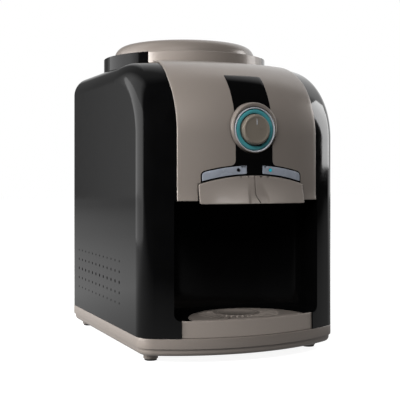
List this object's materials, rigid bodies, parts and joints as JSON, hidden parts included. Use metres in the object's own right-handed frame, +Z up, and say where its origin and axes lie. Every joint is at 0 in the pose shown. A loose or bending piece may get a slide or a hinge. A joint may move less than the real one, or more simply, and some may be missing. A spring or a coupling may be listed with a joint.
{
  "type": "countertop water dispenser",
  "caption": "Countertop dispenser for an upturned bottle: rounded casing, recess for a glass, push levers, thermostat knob and pull-out drip tray.",
  "frame": {"origin": "centre of the footprint, on the surface that the feet stand on", "axes": "+Z up, the front with its recess and knob faces -Y, +X to the right of someone facing the front"},
  "size_m": [0.29, 0.396, 0.4428],
  "materials": {
    "champagne": "satin metallic champagne lacquer",
    "knob_cap": "satin metallic champagne, brushed face",
    "black_gloss": "high gloss black",
    "dial_black": "matt black",
    "teal_ring": "glossy translucent teal",
    "silver_trim": "polished",
    "label_plate": "pearly blue-grey",
    "lens_dark": "dark lens",
    "lens_cyan": "lit cyan lens",
    "pad_rubber": "matt",
    "steel_pin": "bright",
    "screw_steel": "zinc plated",
    "rear_sheet": "black powder coat",
    "condenser_black": "black enamel",
    "compressor_black": "black stove enamel",
    "tap_white": "natural moulded",
    "tank_steel": "stainless",
    "foam": "expanded foam",
    "copper": "drawn copper",
    "silicone": "clear silicone",
    "black_plastic": "moulded texture",
    "board": "solder mask"
  },
  "bodies": {
    "cabinet": {"base_pan": "champagne", "capillary_tube": "copper", "cold_tank": "tank_steel", "compressor": "compressor_black", "compressor_bracket": "rear_sheet", "compressor_grommets": "pad_rubber", "condenser_coil": "condenser_black", "condenser_wires": "condenser_black", "cord_gland": "black_plastic", "dial_plate": "dial_black", "discharge_pipe": "copper", "display_strip": "black_gloss", "drain_tube": "silicone", "dryer_filter": "copper", "evaporator_coil": "copper", "feet_front": "champagne", "feet_rear": "champagne", "foot_pads": "pad_rubber", "front_panel": "champagne", "inner_shelf": "rear_sheet", "knob_bezel": "champagne", "label_plate_left": "label_plate", "label_plate_right": "label_plate", "led_board": "board", "led_lens_left": "lens_dark", "led_lens_right": "lens_cyan", "lever_bracket": "tap_white", "lever_pins": "steel_pin", "rear_panel": "rear_sheet", "rear_screws": "screw_steel", "recess_floor": "black_gloss", "recess_liner": "black_gloss", "relay_cover": "black_plastic", "separator_disc": "tap_white", "side_cover_left": "black_gloss", "side_cover_right": "black_gloss", "silver_ring": "silver_trim", "suction_pipe": "copper", "tank_gasket": "pad_rubber", "tank_insulation": "foam", "tap_body_left": "tap_white", "tap_body_right": "tap_white", "tap_spring_left": "steel_pin", "tap_spring_right": "steel_pin", "teal_ring": "teal_ring", "thermostat_body": "black_plastic", "water_tank": "tap_white", "water_tubes": "silicone"},
    "thermostat_knob": {"thermostat_knob": "knob_cap", "thermostat_shaft": "steel_pin"},
    "lever_left": {"lever_left": "champagne"},
    "lever_right": {"lever_right": "champagne"},
    "tap_plunger_left": {"tap_plunger_left": "tap_white"},
    "tap_plunger_right": {"tap_plunger_right": "tap_white"},
    "drip_tray": {"drip_tray": "champagne"},
    "drip_grille": {"drip_grille": "champagne"},
    "bottle_seat": {"bottle_seat": "champagne", "bottle_spike": "tap_white"},
    "drain_plug": {"drain_plug": "black_plastic"}
  },
  "joints": [
    {"name": "thermostat_turn", "type": "hinge", "parent": "cabinet", "child": "thermostat_knob", "pos_m": [0, -0.198, 0.3037], "axis": [0, 1, 0], "range_deg": [-135, 135]},
    {"name": "lever_left_push", "type": "hinge", "parent": "cabinet", "child": "lever_left", "pos_m": [-0.038, -0.176, 0.233], "axis": [1, 0, 0], "range_deg": [0, 9], "stiffness_Nm_per_rad": 0.6, "springref_deg": -4.58},
    {"name": "lever_right_push", "type": "hinge", "parent": "cabinet", "child": "lever_right", "pos_m": [0.038, -0.176, 0.233], "axis": [1, 0, 0], "range_deg": [0, 9], "stiffness_Nm_per_rad": 0.6, "springref_deg": -4.58},
    {"name": "tap_left_travel", "type": "slide", "parent": "cabinet", "child": "tap_plunger_left", "axis": [0, 1, 0], "range_m": [0, 0.002], "deforming": ["tap_spring_left"]},
    {"name": "tap_right_travel", "type": "slide", "parent": "cabinet", "child": "tap_plunger_right", "axis": [0, 1, 0], "range_m": [0, 0.002], "deforming": ["tap_spring_right"]},
    {"name": "drip_tray_slide", "type": "slide", "parent": "cabinet", "child": "drip_tray", "axis": [0, -1, 0], "range_m": [0, 0.12]},
    {"name": "drip_grille_lift", "type": "slide", "parent": "drip_tray", "child": "drip_grille", "axis": [0, 0, 1], "range_m": [0, 0.06]},
    {"name": "bottle_seat_lift", "type": "slide", "parent": "cabinet", "child": "bottle_seat", "axis": [0, 0, 1], "range_m": [0, 0.08]},
    {"name": "drain_plug_pull", "type": "slide", "parent": "cabinet", "child": "drain_plug", "axis": [0, 1, 0], "range_m": [0, 0.025]}
  ],
  "couplings": [
    {"joint": "tap_left_travel", "follows": "lever_left_push", "m_per_rad": 0.0115},
    {"joint": "tap_right_travel", "follows": "lever_right_push", "m_per_rad": 0.0115}
  ]
}
